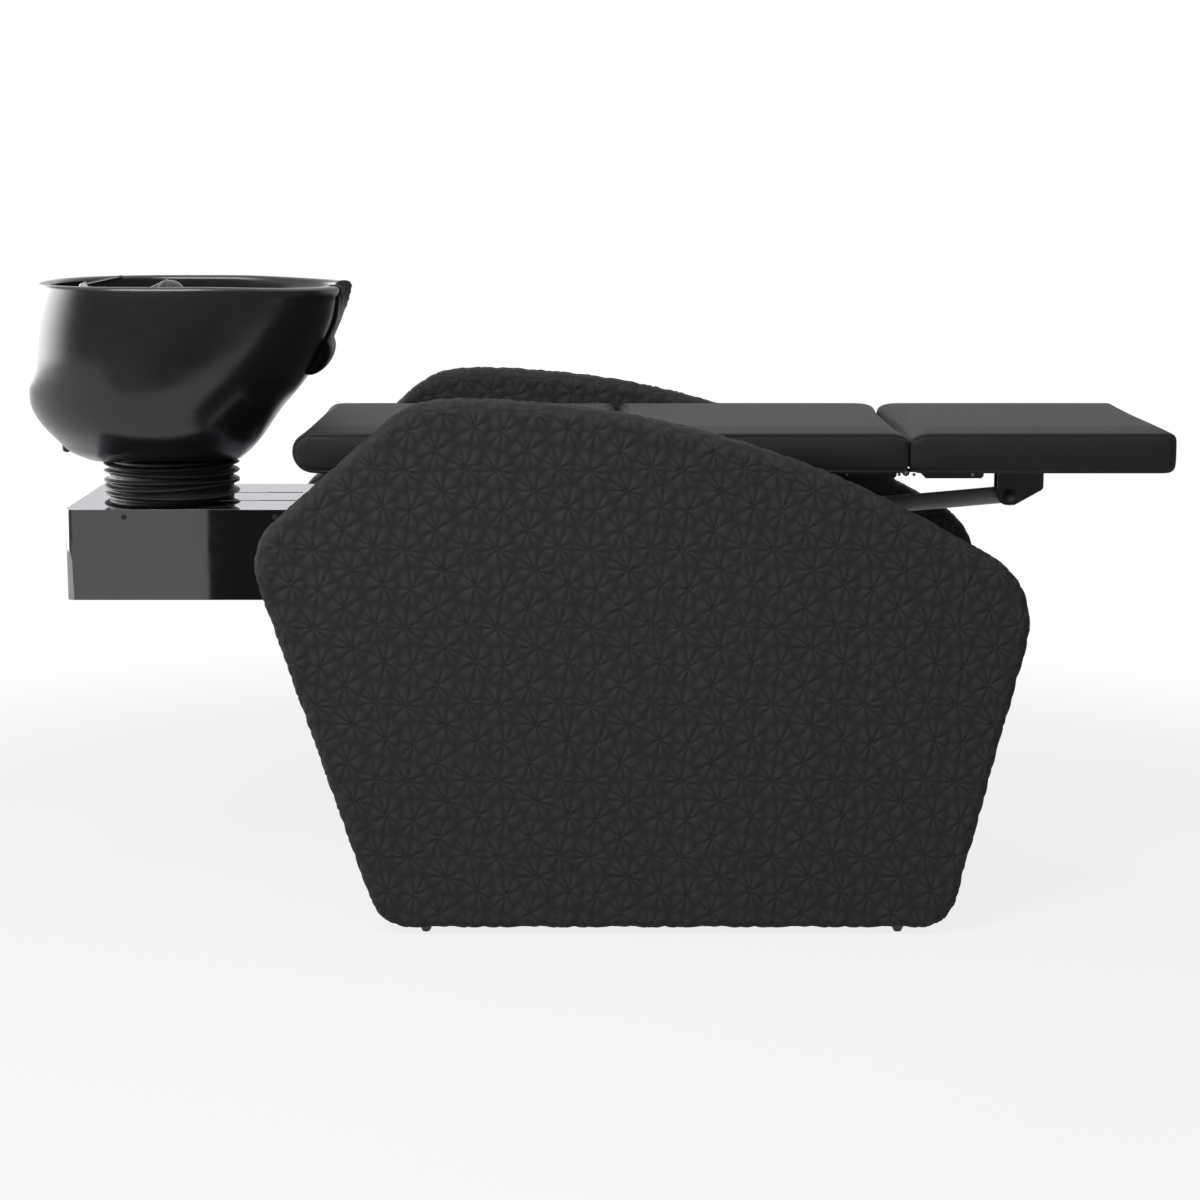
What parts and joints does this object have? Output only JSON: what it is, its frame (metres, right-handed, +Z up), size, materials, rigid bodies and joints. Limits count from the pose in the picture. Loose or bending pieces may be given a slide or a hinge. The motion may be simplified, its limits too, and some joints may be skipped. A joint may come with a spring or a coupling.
{
  "type": "salon backwash unit",
  "caption": "Black salon wash lounger: embossed side panels, flat pad bed that lowers and folds into a seat, and a tilting ceramic basin on a rubber bellows over a gloss box.",
  "frame": {"origin": "on the floor, under the middle of the overall length and width", "axes": "+X from the basin toward the leg rest, +Y to the sitter's left, +Z up"},
  "size_m": [1.8739, 0.708, 1.0375],
  "materials": {
    "embossed_vinyl": "satin",
    "black_leatherette": "satin",
    "plywood": "matte",
    "black_laminate": "satin",
    "black_steel": "satin",
    "bright_steel": "satin",
    "grey_steel": "satin",
    "gloss_black_steel": "gloss",
    "black_plastic": "matte",
    "black_rubber": "matte",
    "black_glaze": "gloss",
    "grey_pipe": "matte",
    "chrome_plate": "polished",
    "black_fitting": "gloss",
    "spray_face": "matte"
  },
  "bodies": {
    "base": {"left_panel_cover": "embossed_vinyl", "right_panel_cover": "embossed_vinyl", "panel_boards": "plywood", "levelling_feet": "black_plastic", "floor_frame": "black_steel", "pivot_plates": "black_steel", "lift_shafts": "bright_steel", "kick_boards": "black_laminate", "rear_support": "black_steel", "support_clamps": "black_steel", "drive_housing": "black_plastic", "control_box": "black_plastic", "service_box": "gloss_black_steel", "box_lid": "gloss_black_steel", "lid_screws": "bright_steel", "waste_pipe": "grey_pipe", "supply_pipes": "chrome_plate"},
    "front_arms": {"front_arms": "black_steel", "front_tubes": "black_steel", "front_pins": "bright_steel", "crank_plates": "black_steel"},
    "rear_arms": {"rear_arms": "black_steel", "rear_hub": "black_steel", "rear_pins": "bright_steel", "drive_levers": "black_steel"},
    "drive_rod": {"drive_rod": "bright_steel"},
    "seat": {"seat_pad": "black_leatherette", "seat_board": "plywood", "seat_frame": "black_steel", "seat_hinge_ears": "black_steel", "back_pivot_bolts": "bright_steel", "seat_strap_hinges": "black_steel", "strap_hinge_pins": "bright_steel"},
    "back": {"back_pad": "black_leatherette", "back_board": "plywood", "back_hinge_ears": "black_steel", "back_lugs": "black_steel"},
    "back_links": {"back_links": "black_steel"},
    "leg": {"leg_pad": "black_leatherette", "leg_board": "plywood", "leg_strap_hinges": "black_steel", "leg_bracket": "black_steel"},
    "leg_link": {"leg_link": "black_steel"},
    "carriage": {"carriage_plate": "black_steel", "carriage_clamp": "grey_steel", "tilt_pins": "bright_steel", "bellows": "black_rubber", "waste_hose": "grey_pipe"},
    "basin": {"tilt_bracket": "black_steel", "bowl": "black_glaze", "neck_rest": "black_rubber", "bowl_grommet": "black_plastic", "drain_fitting": "chrome_plate", "mixer_base": "black_fitting", "shower_holder": "black_fitting"},
    "mixer_cap": {"mixer_cap": "black_fitting"},
    "mixer_lever": {"mixer_lever": "black_fitting"},
    "hand_shower": {"hand_shower": "black_fitting", "shower_face": "spray_face"},
    "strainer": {"strainer": "chrome_plate"}
  },
  "joints": [
    {"name": "lift", "type": "hinge", "parent": "base", "child": "front_arms", "pos_m": [0.20018, 0, 0.45762], "axis": [0, 1, 0], "range_deg": [0, 60]},
    {"name": "rear_arm_turn", "type": "hinge", "parent": "base", "child": "rear_arms", "pos_m": [-0.01982, 0, 0.45762], "axis": [0, 1, 0], "range_deg": [0, 60]},
    {"name": "drive_stroke", "type": "slide", "parent": "base", "child": "drive_rod", "axis": [1, 0, 0], "range_m": [-0.11547, 0]},
    {"name": "seat_level", "type": "hinge", "parent": "front_arms", "child": "seat", "pos_m": [0.283, 0, 0.7125], "axis": [0, 1, 0], "range_deg": [-60, 0]},
    {"name": "back_raise", "type": "hinge", "parent": "seat", "child": "back", "pos_m": [0.051, 0, 0.798], "axis": [0, 1, 0], "range_deg": [0, 60]},
    {"name": "leg_drop", "type": "hinge", "parent": "seat", "child": "leg", "pos_m": [0.513, 0, 0.733], "axis": [0, 1, 0], "range_deg": [0, 60]},
    {"name": "leg_link_turn", "type": "hinge", "parent": "front_arms", "child": "leg_link", "pos_m": [0.482, 0, 0.6505], "axis": [0, 1, 0], "range_deg": [-60, 0]},
    {"name": "back_link_turn", "type": "hinge", "parent": "rear_arms", "child": "back_links", "pos_m": [-0.087, 0, 0.6295], "axis": [0, 1, 0], "range_deg": [-60, 0]},
    {"name": "basin_slide", "type": "slide", "parent": "base", "child": "carriage", "axis": [1, 0, 0], "range_m": [0, 0.06], "deforming": ["waste_hose"]},
    {"name": "basin_tilt", "type": "hinge", "parent": "carriage", "child": "basin", "pos_m": [-0.703, 0, 0.7], "axis": [0, 1, 0], "range_deg": [-8, 6], "deforming": ["bellows", "waste_hose"]},
    {"name": "mixer_swing", "type": "hinge", "parent": "basin", "child": "mixer_cap", "pos_m": [-0.85, 0.045, 1.00296], "axis": [0, 0, 1], "range_deg": [-45, 45]},
    {"name": "mixer_lift", "type": "hinge", "parent": "mixer_cap", "child": "mixer_lever", "pos_m": [-0.85, 0.045, 1.02096], "axis": [0, -1, 0], "range_deg": [0, 25]},
    {"name": "shower_pull", "type": "slide", "parent": "basin", "child": "hand_shower", "axis": [0.9781, 0, 0.2079], "range_m": [0, 0.15]},
    {"name": "strainer_lift", "type": "slide", "parent": "basin", "child": "strainer", "axis": [0, 0, 1], "range_m": [0, 0.08]}
  ],
  "couplings": [
    {"joint": "rear_arm_turn", "follows": "lift", "ratio": 1},
    {"joint": "seat_level", "follows": "lift", "ratio": -1},
    {"joint": "back_raise", "follows": "lift", "ratio": 1},
    {"joint": "leg_drop", "follows": "lift", "ratio": 1},
    {"joint": "leg_link_turn", "follows": "lift", "ratio": -1},
    {"joint": "back_link_turn", "follows": "lift", "ratio": -1},
    {"joint": "drive_stroke", "follows": "lift", "m_per_rad": -0.11027}
  ]
}
